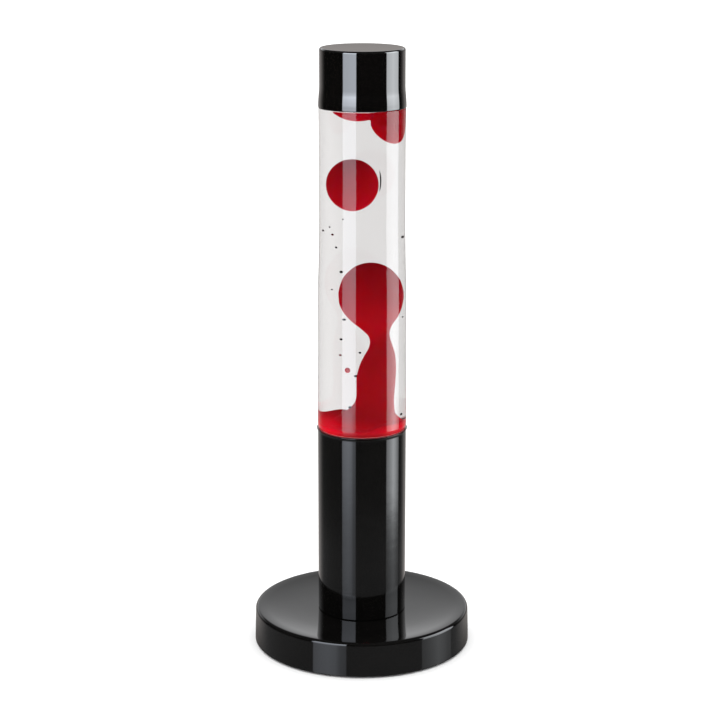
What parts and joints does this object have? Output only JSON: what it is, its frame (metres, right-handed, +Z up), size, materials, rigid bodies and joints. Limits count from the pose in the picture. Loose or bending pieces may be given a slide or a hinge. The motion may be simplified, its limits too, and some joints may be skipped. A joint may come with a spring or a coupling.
{
  "type": "lava lamp",
  "caption": "Lava lamp: clear glass bottle of liquid with red wax on a gloss black column and round weighted base, under a gloss black cap.",
  "frame": {"origin": "centre of the ring of feet, on the surface the lamp stands on, under the lamp's axis", "axes": "+Z up along the lamp's axis; +Y towards the rear, where the supply lead enters the base; +X to the right seen from the front"},
  "size_m": [0.15, 0.1518, 0.4145],
  "materials": {
    "gloss_black": "gloss",
    "clear_glass": "polished",
    "clear_liquid": "polished",
    "red_wax": "satin",
    "steel": "satin",
    "brass": "satin",
    "cast_iron": "matte",
    "white_plastic": "satin",
    "black_plastic": "matte",
    "rubber": "matte",
    "foam": "matte",
    "silvered_glass": "polished",
    "ceramic": "satin"
  },
  "bodies": {
    "base": {"base_cover": "gloss_black", "column_tube": "gloss_black", "base_weight": "cast_iron", "base_plate": "black_plastic", "column_foot": "black_plastic", "bottle_seat": "black_plastic", "plate_screw_1": "steel", "plate_screw_2": "steel", "plate_screw_3": "steel", "plate_screw_4": "steel", "column_screw_1": "steel", "column_screw_2": "steel", "column_screw_3": "steel", "threaded_nipple": "steel", "nipple_nut_lower": "steel", "nipple_nut_upper": "steel", "rubber_foot_1": "rubber", "rubber_foot_2": "rubber", "rubber_foot_3": "rubber", "rubber_foot_4": "rubber", "cable_grommet": "rubber", "holder_cap": "white_plastic", "holder_shell": "white_plastic", "holder_core": "ceramic", "terminal_screw_1": "brass", "terminal_screw_2": "brass", "thread_sleeve": "brass", "centre_contact": "brass"},
    "cap": {"cap_shell": "gloss_black", "cap_liner": "foam"},
    "bulb": {"bulb_contact": "steel", "bulb_insulator": "black_plastic", "bulb_cap": "brass", "bulb_glass": "silvered_glass", "bulb_stem": "clear_glass", "filament": "steel"},
    "bottle": {"glass_bottle": "clear_glass", "bottle_closure": "steel", "closure_seal": "white_plastic", "lamp_fluid": "clear_liquid", "wax_pool": "red_wax", "wax_top": "red_wax", "wax_droplet": "red_wax", "heating_coil": "steel"},
    "free_wax": {"wax_blob": "red_wax"}
  },
  "joints": [
    {"name": "cap_lift", "type": "slide", "parent": "bottle", "child": "cap", "axis": [0, 0, 1], "range_m": [0, 0.06]},
    {"name": "bottle_lift", "type": "slide", "parent": "base", "child": "bottle", "axis": [0, 0, 1], "range_m": [0, 0.06]},
    {"name": "bulb_unscrew", "type": "slide", "parent": "base", "child": "bulb", "axis": [0, 0, 1], "range_m": [0, 0.014]},
    {"name": "wax_blob_rise", "type": "slide", "parent": "bottle", "child": "free_wax", "axis": [0, 0, 1], "range_m": [-0.033, 0.008], "deforming": ["lamp_fluid"]}
  ]
}
